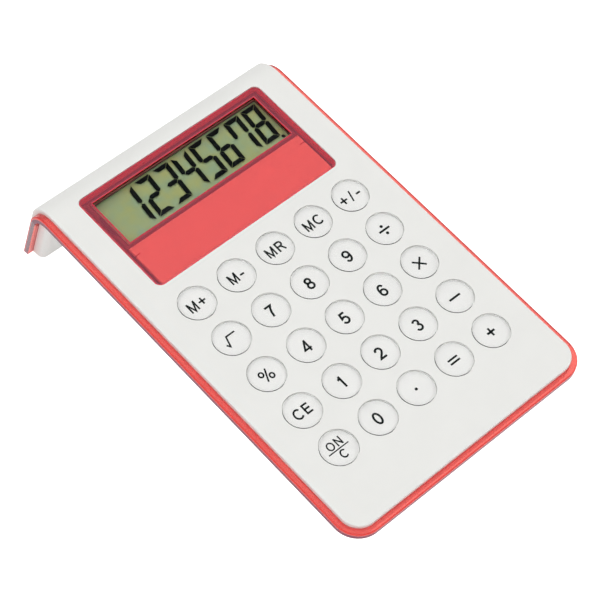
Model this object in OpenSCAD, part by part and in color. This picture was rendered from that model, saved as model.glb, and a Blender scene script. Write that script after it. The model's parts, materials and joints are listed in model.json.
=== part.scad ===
// Desk calculator: a tinted plate between two white shells, all three bent down at the rear into a
// leg as wide as the calculator.
//
// Every piece is drawn in the plate's own frame: x to the right, y along the plate to the rear, z out
// of the key tops, and the middle key at the origin. stand() then tilts it onto the table, with Z up
// and the origin on the table under the middle of the whole calculator.

/* [Plates] */
// Width of the tinted plate, the widest piece
plate_w = 104.7; // [104:0.1:108]
// Distance from the middle key to the front edge of the tinted plate
plate_front = 62; // [61.5:0.5:65]
// Radius of the tinted plate's front corners
plate_corner = 9.4; // [8.5:0.1:12]
// How far the tinted plate stands out beyond the white shells
ledge = 2.35; // [1.8:0.05:2.4]
// Thickness of the white top cover
cover_t = 1.85; // [1.8:0.05:2]
// Thickness of the tinted plate
tint_t = 2.5; // [2.4:0.05:2.6]
// Depth of the white back case
case_t = 4.9; // [4.9:0.05:5.4]
// Wall thickness of the back case
wall = 1.6; // [1.5:0.05:1.6]

/* [Leg] */
// Distance from the middle key to where the plates start to bend
bend_y = 88.4; // [88.4:0.1:92]
// Radius of the bend on the underside of the back case
bend_r = 1.9; // [1.5:0.1:3]
// Angle through which the plates bend
leg_angle = 80; // [75:1:85]
// Tilt of the keypad on the table
tilt = 8.3; // [7:0.1:10]
// Height of the shells above the table, which the rubber feet make up
foot_gap = 0.3; // [0.2:0.1:0.6]

/* [Keys] */
// Distance between neighbouring keys, both ways
key_pitch = 17; // [16.6:0.1:17]
// Diameter of a key
key_d = 12.7; // [12.2:0.1:12.8]
// Height of a key's middle above the top cover
key_proud = 0.25; // [0.2:0.05:0.4]
// How much a key's top is domed
key_dome = 0.15; // [0.1:0.05:0.2]
// Travel of a key
key_travel = 0.8; // [0.6:0.1:0.9]

/* [Display] */
// Width of the tinted lens
lens_w = 79.6; // [79:0.1:80]
// Length of the tinted lens along the plate
lens_l = 42.7; // [42.5:0.1:42.8]
// Distance from the middle key to the middle of the lens
lens_y = 67.45; // [67.4:0.05:67.5]
// Width of the opening over the display
view_w = 71.4; // [70:0.1:71.6]
// Length of the opening over the display
view_l = 19.5; // [19:0.1:19.6]
// Distance from the middle key to the middle of the opening
view_y = 75.45; // [75.4:0.05:75.5]

/* [Hidden] */
$fn = 64;
FINE = 256; // facets of a large round surface
STEP = 1; // how far a cutting shape reaches past what it cuts
JOIN = 0.2; // how far pieces of one solid run into each other
EASE = 0.05; // clearance between pieces that fit together
THREAD_GAP = 0.03; // clearance round a screw's shank, in place of its thread

// Levels along z, from the cover down
z_cover = -key_proud;
z_tint = z_cover - cover_t;
z_case = z_tint - tint_t;
z_base = z_case - case_t;
z_floor = z_base + wall;

// The shells
shell_w = plate_w - 2 * ledge;
shell_front = plate_front - ledge;
shell_corner = plate_corner - ledge;
cover_edge = 0.5;
tint_edge = 0.6;
case_edge = 2.2;
bend_z = z_base - bend_r;

// The stand on the table
drop = leg_angle - tilt;
function over_y(y, z) = y * cos(tilt) - z * sin(tilt);
function over_z(y, z) = y * sin(tilt) + z * cos(tilt);
low_case = over_z(case_edge - shell_front, z_base + case_edge) - case_edge;
floor_z = low_case - foot_gap;
// Distance to the rear at which level z of the leg meets the cut at its foot
function leg_end(z) = let(
        r = z - bend_z,
        run = (over_z(bend_y, bend_z) + r * cos(drop) - low_case) / sin(drop)
    ) over_y(bend_y, bend_z) + r * sin(drop) + run * cos(drop);
front_end = over_y(tint_edge - plate_front, z_tint - tint_edge) - tint_edge;
mid_y = (front_end + leg_end(z_cover)) / 2;
leg_run = 40;
leg_start = 0.3; // how far the leg reaches back into the bend
leg_ease = 0.02; // how much smaller the leg is all round, so that it ends inside the bend

// Keys: a cap over a flange that the cover holds down, and a plunger on the rubber dome
key_hole_d = key_d + 0.5;
key_bore_d = key_d + 2.3;
flange_d = key_d + 1.7;
flange_top = z_tint - 0.1;
flange_t = 0.8;
plunger_d = 5;
plunger_end = flange_top - flange_t - 0.3;
key_edge = 0.3;
key_sphere = (key_d * key_d / 4 + key_dome * key_dome) / (2 * key_dome);
KEYS = [
    "key_m_plus", "key_m_minus", "key_m_recall", "key_m_clear", "key_sign",
    "key_root", "key_7", "key_8", "key_9", "key_divide",
    "key_percent", "key_4", "key_5", "key_6", "key_multiply",
    "key_clear_entry", "key_1", "key_2", "key_3", "key_minus",
    "key_on_clear", "key_0", "key_point", "key_equals", "key_plus"
];
key_columns = 5;
key_rows = 5;

// Rubber keypad, under the tinted plate
mat_w = 83;
mat_l = 83;
mat_t = 1;
z_mat = z_case - 0.1;
z_board = z_mat - mat_t;
dome_base_r = 4.4;
dome_top_r = 3.2;
dome_wall = 0.7;
pill_r = 1.5;
pill_end = z_board + key_travel;

// Circuit board
board_w = 85.4;
board_front = -46;
board_rear = 86.6;
board_t = 1.2;
board_corner = 1.5;
board_screws = [[36, -43.8], [40.6, 44], [40.7, 83.5]];
board_screw_r = 0.85;
board_screw_head_r = 1.5;
board_screw_head_t = 0.7;
board_screw_end = z_tint - 1;
spacer_r = 1.8;
prop_r = 1.5;
prop_places = [[25.5, -25.5], [25.5, 8.5], [8.5, -8.5], [25.5, 70]];

// Case screws, and the bosses and posts that they join
screw_x = 45.4;
screw_rows = [-50, 4, 60];
leg_screw_x = 38;
leg_screw_y = 12;
screw_r = 1;
screw_head_r = 1.9;
screw_head_t = 1.1;
screw_clear_r = 1.15;
screw_sink_r = screw_head_r + 0.2;
screw_room = 0.2; // how far a screw's hole runs past its point
boss_r = 2.1;
boss_end = z_case - 1.6;
post_r = 2.4;
boss_hole_r = boss_r + 0.2;
seat_z = z_base + 1.2;
screw_end = z_tint - 1.4;

// Display: tinted lens, clear pane, holder, and the liquid crystal cell in it
lens_corner = 2.5;
lens_gap = 0.1;
lens_shelf = 1.2;
open_front = lens_y - lens_l / 2 - 0.2;
open_rear = lens_y + lens_l / 2 - lens_shelf;
open_w = lens_w - 2 * lens_shelf;
panel_w = 74.9;
panel_front = lens_y - lens_l / 2 + 0.1;
panel_rear = 64.1;
panel_t = 0.8;
pane_t = 0.5;
pane_rim = 0.9;
collar_rim = 1.7;
collar_wall = 1.2;
z_collar = z_tint - pane_t - 0.05;
z_glass = z_tint - 2;
glass_w = 74;
glass_front = 63.7;
glass_rear = 86.8;
glass_t = 0.55;
contact_strip = 2.6;
holder_w = open_w - 0.6;
holder_front = 62.9;
holder_rear = open_rear - 0.2;
holder_lip = 0.4;
foil_t = 0.15;
foil_rim = 0.3;
zebra_w = 70;
zebra_gap = 0.3;
clip_r = 14.3;
clip_t = 0.5;
clip_half = 6;

// Battery: a button cell behind a round cap that turns out with a coin
cell_x = -24;
cell_y = 53.5;
cell_r = 5.8;
cell_h = 3.05;
cell_hole_r = cell_r + 0.8;
cap_r = 8.8;
cap_hole_r = 9;
cap_t = 1.4;
lip_t = 1.1;
lug_r = 10.3;
groove_r = 10.6;
collar_r = 12;
collar_t = 0.8;
lug_angle = 24;
notch_angle = 30;
cap_turn = 60;
coin_slot = [12, 1.6, 0.7];
z_lip = z_base + lip_t;
z_cell = z_base + cap_t + 0.03;
strip_t = 0.2;
strip_w = 4;

// Rubber feet
foot_x = 38;
foot_y = -52;
foot_d = 8;
foot_sunk = 0.5;
foot_gap_r = 0.1; // clearance round a foot in its recess
pad_l = 14;
pad_w = 3.2;
pad_x = 36;

SHELL_NODES = ["top_cover", "tinted_plate", "back_case"];
DISPLAY_NODES = [
    "display_lens", "lens_panel", "lcd_pane", "lcd_holder", "lcd_front_glass", "lcd_rear_glass",
    "lcd_reflector", "lcd_connector"
];
ELECTRIC_NODES = [
    "circuit_board", "chip_blob", "chip_parts", "rubber_keypad", "button_cell", "cell_contact_minus",
    "cell_contact_plus"
];
FITTING_NODES = ["battery_cap", "case_screws", "board_screws", "front_feet", "leg_feet"];

// ---- Frames ----

// Tilts the plate's frame onto the table
module stand() {
    translate([0, -mid_y, -floor_z])
        rotate([tilt, 0, 0])
            children();
}

// Carries a shape from the flat plate to the leg, with y counted from the end of the bend
module on_leg() {
    translate([0, bend_y, bend_z])
        rotate([-leg_angle, 0, 0])
            translate([0, 0, -bend_z])
                children();
}

// All the space from a height above the table upwards
module above_table(height) {
    translate([-plate_w, -2 * bend_y, height])
        cube([2 * plate_w, 4 * bend_y, bend_y]);
}

module both_sides() {
    for (side = [0, 1])
        mirror([side, 0, 0])
            children();
}

module at_keys() {
    for (i = [0 : len(KEYS) - 1])
        at_key(i)
            children();
}

module at_key(i) {
    column = i % key_columns - (key_columns - 1) / 2;
    row = (key_rows - 1) / 2 - floor(i / key_columns);
    translate([column * key_pitch, row * key_pitch, 0])
        children();
}

module at_case_screws() {
    for (side = [-1, 1]) {
        for (y = screw_rows)
            translate([side * screw_x, y, 0])
                children();
        on_leg()
            translate([side * leg_screw_x, leg_screw_y, 0])
                children();
    }
}

module at_board_screws() {
    for (side = [-1, 1])
        for (place = board_screws)
            translate([side * place[0], place[1], 0])
                children();
}

// ---- Shapes ----

// A disc or drum between two levels
module drum(r, low, high) {
    translate([0, 0, low])
        cylinder(r = r, h = high - low);
}

// A block between two corners
module block(low, high) {
    translate(low)
        cube(high - low);
}

// A block centred across the plate, from one y to another and one level to another
module bar(w, y0, y1, low, high) {
    block([-w / 2, y0, low], [w / 2, y1, high]);
}

module rounded_rectangle(w, l, r) {
    for (x = [-1, 1])
        for (y = [-1, 1])
            translate([x * (w / 2 - r), y * (l / 2 - r)])
                circle(r);
    square([w - 2 * r, l], center = true);
    square([w, l - 2 * r], center = true);
}

// A flat piece with round corners, centred on y
module rounded_plate(w, l, y, r, low, high) {
    translate([0, y, low])
        linear_extrude(high - low)
            rounded_rectangle(w, l, r);
}

// What is cut away outside a rounded corner whose centre is at the origin
module outside_corner(r) {
    difference() {
        square(2 * r);
        circle(r);
    }
}

// Half a sheet's cross-section, from the middle out to half_w, with rounded outer corners
module half_section(half_w, low, high, low_r, high_r) {
    difference() {
        translate([0, low])
            square([half_w, high - low]);
        if (high_r > 0)
            translate([half_w - high_r, high - high_r])
                outside_corner(high_r);
        if (low_r > 0)
            translate([half_w - low_r, low + low_r])
                mirror([0, 1])
                    outside_corner(low_r);
    }
}

module full_section(half_w, low, high, low_r, high_r) {
    for (side = [0, 1])
        mirror([side, 0])
            half_section(half_w, low, high, low_r, high_r);
}

// A sheet with two round front corners that bends down at the rear and runs on as the leg
module bent_sheet(w, front, corner, low, high, low_r, high_r) {
    half_w = w / 2;
    flat_y = corner - front;
    translate([0, bend_y, 0])
        rotate([90, 0, 0])
            linear_extrude(bend_y - flat_y)
                full_section(half_w, low, high, low_r, high_r);
    translate([half_w - corner, flat_y, 0])
        rotate([90, 0, -90])
            linear_extrude(w - 2 * corner)
                half_section(corner, low, high, low_r, high_r);
    for (side = [0, 1])
        mirror([side, 0, 0])
            translate([half_w - corner, flat_y, 0])
                rotate([0, 0, -90])
                    rotate_extrude(angle = 90)
                        half_section(corner, low, high, low_r, high_r);
    translate([0, bend_y, bend_z])
        rotate([0, -90, 0])
            rotate_extrude(angle = leg_angle)
                translate([-bend_z, 0])
                    rotate(-90)
                        full_section(half_w, low, high, low_r, high_r);
    on_leg()
        translate([0, leg_run, 0])
            rotate([90, 0, 0])
                linear_extrude(leg_run + leg_start)
                    full_section(half_w - leg_ease, low + leg_ease, high - leg_ease, low_r, high_r);
}

// A sector of a ring, centred on an angle
module ring_sector(inner, outer, low, high, middle, spread) {
    rotate([0, 0, middle - spread / 2])
        rotate_extrude(angle = spread)
            translate([inner, low])
                square([outer - inner, high - low]);
}

// A screw standing head down: its shank rises from the seat
module screw(head_r, head_t, shank_r, seat, end) {
    slot_w = head_r * 0.35;
    slot_l = head_r * 1.2;
    difference() {
        union() {
            drum(head_r, seat - head_t, seat);
            drum(shank_r, seat - JOIN, end - shank_r);
            translate([0, 0, end - shank_r])
                cylinder(r1 = shank_r, r2 = shank_r / 4, h = shank_r);
        }
        for (turn = [0, 90])
            rotate([0, 0, turn])
                translate([-slot_l / 2, -slot_w / 2, seat - head_t - STEP])
                    cube([slot_l, slot_w, STEP + head_t / 2]);
    }
}

// ---- Shells ----

module top_cover() {
    color("whitesmoke")
        intersection() {
            above_table(foot_gap);
            stand()
                difference() {
                    union() {
                        bent_sheet(shell_w, shell_front, shell_corner, z_tint, z_cover, 0, cover_edge);
                        at_case_screws()
                            drum(boss_r, boss_end, z_tint + JOIN);
                    }
                    at_keys()
                        drum(key_hole_d / 2, z_tint - STEP, z_cover + STEP);
                    rounded_plate(
                        lens_w + 2 * lens_gap, lens_l + 2 * lens_gap, lens_y, lens_corner + lens_gap,
                        z_tint - STEP, z_cover + STEP
                    );
                    at_case_screws()
                        drum(screw_r + THREAD_GAP, boss_end - STEP, screw_end + screw_room);
                }
        }
}

module tinted_plate() {
    color("crimson", 0.6)
        intersection() {
            above_table(foot_gap);
            stand()
                difference() {
                    union() {
                        bent_sheet(plate_w, plate_front, plate_corner, z_case, z_tint, 0, tint_edge);
                        at_board_screws()
                            drum(spacer_r, z_board, z_case + JOIN);
                    }
                    at_keys()
                        drum(key_bore_d / 2, z_case - STEP, z_tint + STEP);
                    bar(open_w, open_front, open_rear, z_case - STEP, z_tint + STEP);
                    at_case_screws()
                        drum(boss_hole_r, z_case - STEP, z_tint + STEP);
                    at_board_screws()
                        drum(board_screw_r + THREAD_GAP, z_board - STEP, board_screw_end + screw_room);
                }
        }
}

// The outside of the back case, and what is hollowed out of it
module case_outside() {
    intersection() {
        above_table(foot_gap);
        stand()
            bent_sheet(shell_w, shell_front, shell_corner, z_base, z_case, case_edge, 0);
    }
}

module case_hollow() {
    intersection() {
        above_table(foot_gap + wall);
        stand()
            bent_sheet(
                shell_w - 2 * wall, shell_front - wall, shell_corner - wall,
                z_floor, z_case + STEP, case_edge - wall, 0
            );
    }
}

module back_case() {
    color("white")
        difference() {
            union() {
                difference() {
                    case_outside();
                    case_hollow();
                }
                stand() {
                    at_case_screws()
                        drum(post_r, z_floor - JOIN, boss_end - EASE);
                    for (place = prop_places)
                        both_sides()
                            translate([place[0], place[1], 0])
                                drum(prop_r, z_floor - JOIN, z_board - board_t);
                    translate([cell_x, cell_y, 0])
                        drum(collar_r, z_floor - JOIN, z_floor + collar_t);
                }
            }
            stand() {
                at_case_screws() {
                    drum(screw_clear_r, z_base - STEP, boss_end);
                    drum(screw_sink_r, z_base - STEP, seat_z);
                }
                translate([cell_x, cell_y, 0]) {
                    drum(cap_hole_r, z_base - STEP, z_lip + STEP);
                    drum(groove_r, z_lip, z_floor + STEP);
                    for (middle = [-cap_turn, 180 - cap_turn])
                        ring_sector(
                            cap_r - STEP, groove_r, z_base - STEP, z_lip + JOIN, middle, notch_angle
                        );
                }
                for (side = [-1, 1])
                    translate([side * foot_x, foot_y, 0])
                        drum(foot_d / 2 + foot_gap_r, z_base - STEP, z_base + foot_sunk);
            }
            leg_pads(foot_gap_r);
        }
}

// ---- Display ----

module display_lens() {
    color("crimson", 0.6)
        stand()
            difference() {
                rounded_plate(lens_w, lens_l, lens_y, lens_corner, z_tint, z_cover);
                bar(view_w, view_y - view_l / 2, view_y + view_l / 2, z_tint - STEP, z_cover + STEP);
            }
}

// White panel behind the front part of the lens
module lens_panel() {
    notch = 1.2;
    notch_in = 3.4;
    color("white")
        stand()
            difference() {
                bar(panel_w, panel_front, panel_rear, z_tint - panel_t, z_tint);
                for (side = [-1, 1])
                    translate([side * panel_w / 2, panel_rear - notch_in, z_tint - panel_t / 2])
                        cube([notch, notch / 2, panel_t + STEP], center = true);
            }
}

module lcd_pane() {
    color("azure", 0.3)
        stand()
            bar(
                view_w + 2 * pane_rim, view_y - view_l / 2 - pane_rim, view_y + view_l / 2 + pane_rim,
                z_tint - pane_t, z_tint
            );
}

// Frame round the display, with a collar up to the pane and a bowed clip on each side
module lcd_holder() {
    collar_w = view_w + 2 * collar_rim;
    hole_w = collar_w - 2 * collar_wall;
    collar_half = view_l / 2 + collar_wall;
    clip_x = open_w / 2 - 2 * EASE - clip_r;
    clip_angle = 2 * asin(clip_half / clip_r);
    z_clip = z_collar - EASE;
    z_rim = z_glass + holder_lip;
    color("dimgray")
        stand()
            difference() {
                union() {
                    bar(holder_w, holder_front, holder_rear, z_board, z_rim);
                    bar(collar_w, view_y - collar_half, view_y + collar_half, z_glass, z_collar);
                    translate([0, view_y, 0])
                        both_sides()
                            translate([clip_x, 0, 0])
                                ring_sector(clip_r - clip_t, clip_r, z_rim - JOIN, z_clip, 0, clip_angle);
                }
                bar(
                    glass_w + 2 * EASE, glass_front - EASE, glass_rear + EASE,
                    z_board - STEP, z_glass + EASE
                );
                bar(hole_w, view_y - view_l / 2, view_y + view_l / 2, z_glass - STEP, z_collar + STEP);
            }
}

module lcd_front_glass() {
    color("honeydew", 0.4)
        stand()
            bar(glass_w, glass_front, glass_rear, z_glass - glass_t, z_glass);
}

module lcd_rear_glass() {
    color("honeydew", 0.4)
        stand()
            bar(glass_w, glass_front + contact_strip, glass_rear, z_glass - 2 * glass_t, z_glass - glass_t);
}

module lcd_reflector() {
    under = z_glass - 2 * glass_t;
    color("darkseagreen")
        stand()
            bar(
                glass_w - 2 * foil_rim, glass_front + contact_strip + foil_rim, glass_rear - foil_rim,
                under - foil_t, under
            );
}

// Striped rubber connector between the display's contact edge and the board
module lcd_connector() {
    color("pink")
        stand()
            bar(
                zebra_w, glass_front + zebra_gap, glass_front + contact_strip - zebra_gap,
                z_board, z_glass - glass_t
            );
}

// ---- Electronics ----

module circuit_board() {
    color("seagreen")
        stand()
            difference() {
                rounded_plate(
                    board_w, board_rear - board_front, (board_rear + board_front) / 2, board_corner,
                    z_board - board_t, z_board
                );
                at_board_screws()
                    drum(board_screw_r + 2 * EASE, z_board - board_t - STEP, z_board + STEP);
                translate([cell_x, cell_y, 0])
                    drum(cell_hole_r, z_board - board_t - STEP, z_board + STEP);
            }
}

// Resin cap over the chip
module chip_blob() {
    blob_place = [8, 54];
    blob_r = 5;
    blob_h = 1.4;
    blob_sphere = (blob_r * blob_r + blob_h * blob_h) / (2 * blob_h);
    color("black")
        stand()
            translate([blob_place[0], blob_place[1], z_board])
                intersection() {
                    translate([0, 0, blob_h - blob_sphere])
                        sphere(blob_sphere, $fn = FINE);
                    drum(blob_r + STEP, 0, blob_h + STEP);
                }
}

// Small resistors and capacitors soldered beside the chip
module chip_parts() {
    places = [[18, 50], [18, 54], [18, 58], [24, 52], [24, 56]];
    part_size = [3.2, 1.6, 0.9];
    color("tan")
        stand()
            for (place = places)
                translate([place[0], place[1], z_board])
                    block([0, 0, 0], part_size);
}

// Rubber sheet with a hollow dome under each key, and a hard pill inside each dome
module rubber_keypad() {
    dome_top = plunger_end - EASE;
    dome_h = dome_top - z_mat;
    inner_top = dome_top - dome_wall;
    color("lightgray")
        stand()
            difference() {
                union() {
                    rounded_plate(mat_w, mat_l, 0, board_corner, z_board, z_mat);
                    at_keys()
                        translate([0, 0, z_mat - JOIN])
                            cylinder(r1 = dome_base_r, r2 = dome_top_r, h = dome_h + JOIN);
                }
                at_keys()
                    difference() {
                        translate([0, 0, z_board - JOIN])
                            cylinder(
                                r1 = dome_base_r - dome_wall, r2 = dome_top_r - dome_wall,
                                h = inner_top - z_board + JOIN
                            );
                        drum(pill_r, pill_end, inner_top + STEP);
                    }
            }
}

module button_cell() {
    rim = 0.3;
    lid_r = cell_r - 1.1;
    color("silver")
        stand()
            translate([cell_x, cell_y, z_cell])
                rotate_extrude() {
                    square([cell_r - rim, cell_h - rim]);
                    translate([0, rim])
                        square([cell_r, cell_h - 2 * rim]);
                    translate([cell_r - rim, rim])
                        circle(rim);
                    square([lid_r, cell_h]);
                }
}

// Spring strip over the cell's lid, soldered to the board
module cell_contact_minus() {
    z_strip = z_cell + cell_h;
    reach = cell_r + 2.4;
    tab = 3;
    tip = 1.5;
    color("gold")
        stand()
            translate([cell_x, cell_y, 0]) {
                block([-reach - tab, -strip_w / 2, z_board], [-reach, strip_w / 2, z_board + strip_t]);
                block([-reach - strip_t, -strip_w / 2, z_board], [-reach, strip_w / 2, z_strip + strip_t]);
                block([-reach - strip_t, -strip_w / 2, z_strip], [tip, strip_w / 2, z_strip + strip_t]);
            }
}

// Curved spring leaf against the cell's side, with a tab on the board
module cell_contact_plus() {
    leaf_r = cell_r + EASE;
    leaf_low = z_cell + 0.4;
    leaf_angle = 70;
    tab = 4;
    color("gold")
        stand()
            translate([cell_x, cell_y, 0]) {
                ring_sector(leaf_r, leaf_r + strip_t, leaf_low, z_board + strip_t, 0, leaf_angle);
                block([leaf_r, -strip_w / 2, z_board], [leaf_r + tab, strip_w / 2, z_board + strip_t]);
            }
}

// ---- Cap, screws and feet ----

module battery_cap() {
    rim_in = cell_r + 0.3;
    lug_in = cell_r + 0.6;
    lug_low = z_lip + 0.1;
    lug_high = z_lip + 0.7;
    color("white")
        stand()
            translate([cell_x, cell_y, 0])
                difference() {
                    union() {
                        drum(cap_r, z_base, z_base + cap_t);
                        ring_sector(rim_in, cap_r, z_base + cap_t - JOIN, lug_high, 0, 360);
                        for (middle = [0, 180])
                            ring_sector(lug_in, lug_r, lug_low, lug_high, middle, lug_angle);
                    }
                    translate([0, 0, z_base])
                        cube([coin_slot[0], coin_slot[1], 2 * coin_slot[2]], center = true);
                }
}

module case_screws() {
    color("silver")
        stand()
            at_case_screws()
                screw(screw_head_r, screw_head_t, screw_r, seat_z, screw_end);
}

module board_screws() {
    color("silver")
        stand()
            at_board_screws()
                screw(
                    board_screw_head_r, board_screw_head_t, board_screw_r, z_board - board_t,
                    board_screw_end
                );
}

// Round feet under the front, cut to lie flat on the table
module front_feet() {
    color("gainsboro")
        intersection() {
            above_table(0);
            stand()
                for (side = [-1, 1])
                    translate([side * foot_x, foot_y, 0])
                        drum(foot_d / 2, z_base - 2 * STEP, z_base + foot_sunk);
        }
}

module leg_pads(gap) {
    middle_y = leg_end((z_case + z_base) / 2) - mid_y;
    for (side = [-1, 1])
        translate([side * pad_x, middle_y, 0])
            block(
                [-pad_l / 2 - gap, -pad_w / 2 - gap, -gap],
                [pad_l / 2 + gap, pad_w / 2 + gap, foot_gap + foot_sunk]
            );
}

module leg_feet() {
    color("gainsboro")
        leg_pads(0);
}

// ---- Keys ----

module key() {
    cap_h = -flange_top;
    color("ivory")
        rotate_extrude() {
            intersection() {
                translate([0, -key_sphere])
                    circle(key_sphere, $fn = FINE);
                union() {
                    translate([0, -cap_h - JOIN])
                        square([key_d / 2, cap_h + JOIN - key_dome - key_edge]);
                    translate([0, -cap_h - JOIN])
                        square([key_d / 2 - key_edge, cap_h + JOIN]);
                    translate([key_d / 2 - key_edge, -key_dome - key_edge])
                        circle(key_edge);
                }
                translate([0, -cap_h - JOIN])
                    square([key_d, cap_h + JOIN]);
            }
            translate([0, flange_top - flange_t])
                square([flange_d / 2, flange_t]);
            translate([0, plunger_end])
                square([plunger_d / 2, flange_top - plunger_end]);
        }
}

top_cover();
tinted_plate();
back_case();
display_lens();
lens_panel();
lcd_pane();
lcd_holder();
lcd_front_glass();
lcd_rear_glass();
lcd_reflector();
lcd_connector();
circuit_board();
chip_blob();
chip_parts();
rubber_keypad();
button_cell();
cell_contact_minus();
cell_contact_plus();
battery_cap();
case_screws();
board_screws();
front_feet();
leg_feet();
for (i = [0 : len(KEYS) - 1])
    stand() at_key(i) key();
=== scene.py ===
"""The looks of a tilted desk calculator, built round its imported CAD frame.

Pieces are made in the plate's own frame, in millimetres: x to the right, y along the plate to the
rear, z out of the key tops, with the middle key at the origin. place() then puts them in the row frame.
"""

import json
import math

import bmesh
import bpy
from mathutils import Matrix, Vector


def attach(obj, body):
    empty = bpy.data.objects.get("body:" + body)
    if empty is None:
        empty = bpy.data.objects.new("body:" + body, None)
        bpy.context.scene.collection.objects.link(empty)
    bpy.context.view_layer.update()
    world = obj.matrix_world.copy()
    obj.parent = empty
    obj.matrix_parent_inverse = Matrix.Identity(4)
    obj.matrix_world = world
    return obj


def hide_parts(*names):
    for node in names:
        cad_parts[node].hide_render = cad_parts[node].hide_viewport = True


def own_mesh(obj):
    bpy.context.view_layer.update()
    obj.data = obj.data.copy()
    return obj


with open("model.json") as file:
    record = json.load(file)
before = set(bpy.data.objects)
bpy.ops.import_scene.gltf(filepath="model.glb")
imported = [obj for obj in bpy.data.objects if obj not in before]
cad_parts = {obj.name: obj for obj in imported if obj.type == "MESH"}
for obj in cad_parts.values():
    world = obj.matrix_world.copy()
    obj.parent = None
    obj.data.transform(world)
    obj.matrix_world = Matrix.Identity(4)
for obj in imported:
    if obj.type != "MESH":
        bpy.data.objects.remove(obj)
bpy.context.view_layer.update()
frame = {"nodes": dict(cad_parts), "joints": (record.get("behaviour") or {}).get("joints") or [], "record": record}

# ---- The plate's frame, from the CAD ----

MM = 0.001
KEY_SIGNS = {
    "key_m_plus": "M+", "key_m_minus": "M-", "key_m_recall": "MR", "key_m_clear": "MC",
    "key_sign": "±", "key_root": "√", "key_7": "7", "key_8": "8", "key_9": "9", "key_divide": "÷",
    "key_percent": "%", "key_4": "4", "key_5": "5", "key_6": "6", "key_multiply": "×",
    "key_clear_entry": "CE", "key_1": "1", "key_2": "2", "key_3": "3", "key_minus": "−",
    "key_on_clear": "ON/C", "key_0": "0", "key_point": "·", "key_equals": "=", "key_plus": "+",
}
MIDDLE_KEY = "key_5"
PRESS_MIDDLE = next(j for j in frame["joints"] if j["child"] == MIDDLE_KEY)
UP = -Vector(PRESS_MIDDLE["axis"]).normalized()
RIGHT = Vector((1, 0, 0))
REAR = UP.cross(RIGHT)


def reach(node, axis):
    """How far a CAD node reaches along an axis, lowest and highest, in metres."""
    along = [v.co.dot(axis) for v in frame["nodes"][node].data.vertices]
    return min(along), max(along)


def plate_frame():
    """The matrix from millimetres in the plate's frame to metres in the row frame."""
    origin = RIGHT * sum(reach(MIDDLE_KEY, RIGHT)) / 2 + REAR * sum(reach(MIDDLE_KEY, REAR)) / 2
    origin += UP * reach(MIDDLE_KEY, UP)[1]
    matrix = Matrix((RIGHT, REAR, UP)).transposed().to_4x4()
    return Matrix.Translation(origin) @ matrix @ Matrix.Scale(MM, 4)


PLATE = plate_frame()
FROM_PLATE = PLATE.inverted()


def span(node):
    """Lowest and highest corner of a CAD node in the plate's frame, in millimetres."""
    points = [FROM_PLATE @ v.co for v in frame["nodes"][node].data.vertices]
    low = Vector([min(p[i] for p in points) for i in range(3)])
    high = Vector([max(p[i] for p in points) for i in range(3)])
    return low, high


def middle(node):
    low, high = span(node)
    return (low + high) / 2


# ---- Materials ----


def new_material(name):
    """A node material with a Principled shader, and a function that adds a linked node to it."""
    made = bpy.data.materials.new(name)
    made.use_nodes = True
    tree = made.node_tree
    return made, tree.nodes["Principled BSDF"], adder(tree)


def adder(tree):
    """A function that adds a node to a tree, with its inputs set or linked."""

    def add(kind, **inputs):
        node = tree.nodes.new(kind)
        for key, value in inputs.items():
            socket = node.inputs[key.replace("_", " ")]
            if isinstance(value, bpy.types.NodeSocket):
                tree.links.new(value, socket)
            else:
                socket.default_value = value
        return node

    return add


def feed(material, value, socket):
    material.node_tree.links.new(value, socket)


def object_noise(add, scale, detail=2.0, roughness=0.5):
    """Noise in the piece's own coordinates. Scale is in waves per metre."""
    places = add("ShaderNodeTexCoord")
    return add(
        "ShaderNodeTexNoise", Vector=places.outputs["Object"], Scale=scale, Detail=detail,
        Roughness=roughness,
    )


def between(add, value, low, high):
    """Maps 0...1 to low...high."""
    node = add("ShaderNodeMapRange", Value=value, From_Min=0.3, From_Max=0.7, To_Min=low, To_Max=high)
    return node.outputs["Result"]


def two_colours(add, value, first, second):
    node = add("ShaderNodeMix")
    node.data_type = "RGBA"
    tree = node.id_data
    tree.links.new(value, node.inputs["Factor"])
    node.inputs["A"].default_value = (*first, 1)
    node.inputs["B"].default_value = (*second, 1)
    return node.outputs["Result"]


def grained(material, add, shader, scale, depth):
    """A fine moulded grain, as bump."""
    grain = object_noise(add, scale, 3.0)
    bump = add("ShaderNodeBump", Height=grain.outputs["Fac"], Distance=depth, Strength=1.0)
    feed(material, bump.outputs["Normal"], shader.inputs["Normal"])


def moulded(name, colour, roughness, grain_scale=9000, grain_depth=0.000008, spread=0.012):
    """Opaque moulded plastic or rubber: a nearly even colour and roughness, and a fine grain."""
    made, shader, add = new_material(name)
    cloud = object_noise(add, 90, 4.0)
    lighter = [min(1.0, c * (1 + spread)) for c in colour]
    darker = [c * (1 - spread) for c in colour]
    share = between(add, cloud.outputs["Fac"], 0, 1)
    feed(made, two_colours(add, share, darker, lighter), shader.inputs["Base Color"])
    wear = object_noise(add, 260, 3.0)
    rough = between(add, wear.outputs["Fac"], roughness - 0.04, roughness + 0.04)
    feed(made, rough, shader.inputs["Roughness"])
    grained(made, add, shader, grain_scale, grain_depth)
    return made


def lets_lamps_through(material, add, shader):
    """Rays from lamps pass straight through, so that what lies under the clear piece is lit."""
    tree = material.node_tree
    output = tree.nodes["Material Output"]
    path = add("ShaderNodeLightPath")
    clear = add("ShaderNodeBsdfTransparent")
    mixed = tree.nodes.new("ShaderNodeMixShader")
    tree.links.new(path.outputs["Is Shadow Ray"], mixed.inputs["Fac"])
    tree.links.new(shader.outputs["BSDF"], mixed.inputs[1])
    tree.links.new(clear.outputs["BSDF"], mixed.inputs[2])
    tree.links.new(mixed.outputs["Shader"], output.inputs["Surface"])


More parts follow.
